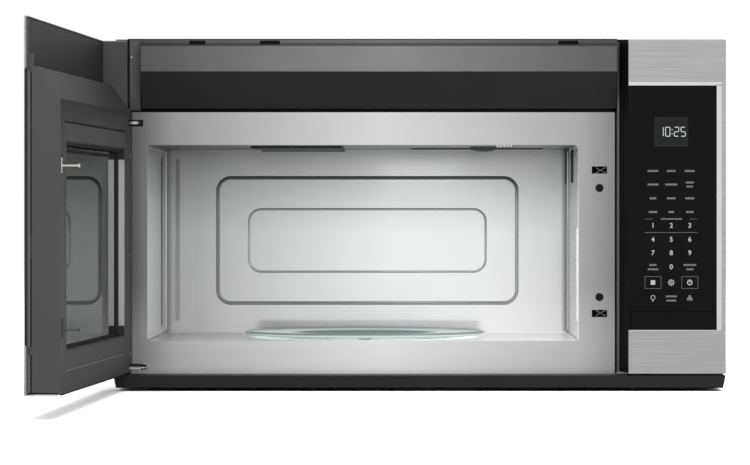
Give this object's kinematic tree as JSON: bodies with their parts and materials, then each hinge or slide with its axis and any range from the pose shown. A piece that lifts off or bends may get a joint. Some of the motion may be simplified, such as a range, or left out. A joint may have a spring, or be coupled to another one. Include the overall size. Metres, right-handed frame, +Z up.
{
  "type": "over the range microwave",
  "caption": "Over the range microwave oven with its door swung open, vent fan, lamp, turntable and touch control panel, for mounting under a wall cabinet.",
  "frame": {"origin": "middle of the base's underside, where the oven rests when it stands on a surface", "axes": "+X to the right seen from the front, +Y towards the wall, +Z up"},
  "size_m": [0.8107, 0.982, 0.434],
  "materials": {
    "case_paint": "satin",
    "zinc_sheet": "satin",
    "cavity_steel": "satin",
    "choke_metal": "satin",
    "stainless": "brushed",
    "vent_grey": "satin",
    "carbon": "granular",
    "filter_mesh": "mesh",
    "clear_lens": "clear",
    "copper_core": "varnished",
    "tube_steel": "satin",
    "mica": "matt",
    "board_green": "matt",
    "white_plastic": "satin",
    "black_moulding": "satin",
    "bumper_rubber": "matt",
    "damper_sheet": "satin",
    "shaft_steel": "polished",
    "black_glass": "polished",
    "tray_glass": "clear",
    "window_tint": "clear",
    "screen_metal": "perforated",
    "door_plastic": "satin"
  },
  "bodies": {
    "cabinet": {"outer_case": "case_paint", "back_plate": "case_paint", "base_pan": "case_paint", "chassis_floor": "zinc_sheet", "front_plate": "cavity_steel", "cavity_shell": "cavity_steel", "vent_housing": "vent_grey", "vent_end_cap": "vent_grey", "charcoal_filter": "carbon", "grease_filters": "filter_mesh", "cooktop_lamp_lens": "clear_lens", "cooktop_lamps": "clear_lens", "magnetron": "tube_steel", "waveguide": "zinc_sheet", "waveguide_cover": "mica", "transformer": "copper_core", "capacitor": "tube_steel", "diode": "black_moulding", "cooling_fan_shroud": "zinc_sheet", "cooling_fan_motor": "tube_steel", "power_board": "board_green", "blower_housings": "black_moulding", "blower_motor": "tube_steel", "exhaust_duct": "zinc_sheet", "damper_frame": "black_moulding", "turntable_motor": "tube_steel", "latch_board": "black_moulding", "interlock_switches": "black_moulding", "door_bumpers": "bumper_rubber", "cavity_lamp": "clear_lens", "thermal_cutouts": "zinc_sheet", "cord_grommet": "black_moulding", "hinge_arms": "zinc_sheet", "panel_trim": "stainless", "panel_frame": "black_moulding", "touch_glass": "black_glass", "panel_insert": "black_moulding", "finger_channel": "black_moulding", "control_board": "board_green"},
    "door": {"door_frame": "door_plastic", "door_trim": "stainless", "door_glass": "black_glass", "choke_panel": "choke_metal", "window_screen": "screen_metal", "window_film": "window_tint", "choke_cover": "door_plastic", "latch_spring": "shaft_steel", "hinge_bushes": "shaft_steel", "door_screws": "shaft_steel"},
    "latch": {"latch_key": "white_plastic"},
    "turntable": {"glass_tray": "tray_glass", "turntable_coupler": "white_plastic"},
    "roller_ring": {"roller_ring": "white_plastic"},
    "roller_1": {"roller_wheel_1": "white_plastic"},
    "roller_2": {"roller_wheel_2": "white_plastic"},
    "roller_3": {"roller_wheel_3": "white_plastic"},
    "blower": {"blower_shaft": "shaft_steel", "blower_wheels": "black_moulding"},
    "fan": {"cooling_fan_blade": "black_moulding"},
    "damper": {"damper_flap": "damper_sheet"}
  },
  "joints": [
    {"name": "door_hinge", "type": "hinge", "parent": "cabinet", "child": "door", "pos_m": [-0.366, -0.1725, 0.2], "axis": [0, 0, 1], "range_deg": [-14, 93]},
    {"name": "latch_slide", "type": "slide", "parent": "door", "child": "latch", "axis": [0, 0, 1], "range_m": [0, 0.003], "stiffness_N_per_m": 300, "springref_m": -0.006, "deforming": ["latch_spring"]},
    {"name": "turntable_spin", "type": "hinge", "parent": "cabinet", "child": "turntable", "pos_m": [-0.0706, 0.0105, 0.055], "axis": [0, 0, 1], "continuous": true},
    {"name": "roller_ring_spin", "type": "hinge", "parent": "cabinet", "child": "roller_ring", "pos_m": [-0.0706, 0.0105, 0.054], "axis": [0, 0, 1], "continuous": true},
    {"name": "roller_1_spin", "type": "hinge", "parent": "roller_ring", "child": "roller_1", "pos_m": [0.0369, 0.0105, 0.054], "axis": [1, 0, 0], "continuous": true},
    {"name": "roller_2_spin", "type": "hinge", "parent": "roller_ring", "child": "roller_2", "pos_m": [-0.12435, 0.1036, 0.054], "axis": [-0.5, 0.866, 0], "continuous": true},
    {"name": "roller_3_spin", "type": "hinge", "parent": "roller_ring", "child": "roller_3", "pos_m": [-0.12435, -0.0826, 0.054], "axis": [-0.5, -0.866, 0], "continuous": true},
    {"name": "blower_spin", "type": "hinge", "parent": "cabinet", "child": "blower", "pos_m": [0, 0.04, 0.362], "axis": [1, 0, 0], "continuous": true},
    {"name": "fan_spin", "type": "hinge", "parent": "cabinet", "child": "fan", "pos_m": [0.28965, 0.12, 0.21], "axis": [0, 1, 0], "continuous": true},
    {"name": "damper_hinge", "type": "hinge", "parent": "cabinet", "child": "damper", "pos_m": [0, 0.115, 0.429], "axis": [1, 0, 0], "range_deg": [0, 78]}
  ],
  "couplings": [
    {"joint": "roller_ring_spin", "follows": "turntable_spin", "ratio": 0.5},
    {"joint": "roller_1_spin", "follows": "turntable_spin", "ratio": -10.75},
    {"joint": "roller_2_spin", "follows": "turntable_spin", "ratio": -10.75},
    {"joint": "roller_3_spin", "follows": "turntable_spin", "ratio": -10.75}
  ]
}
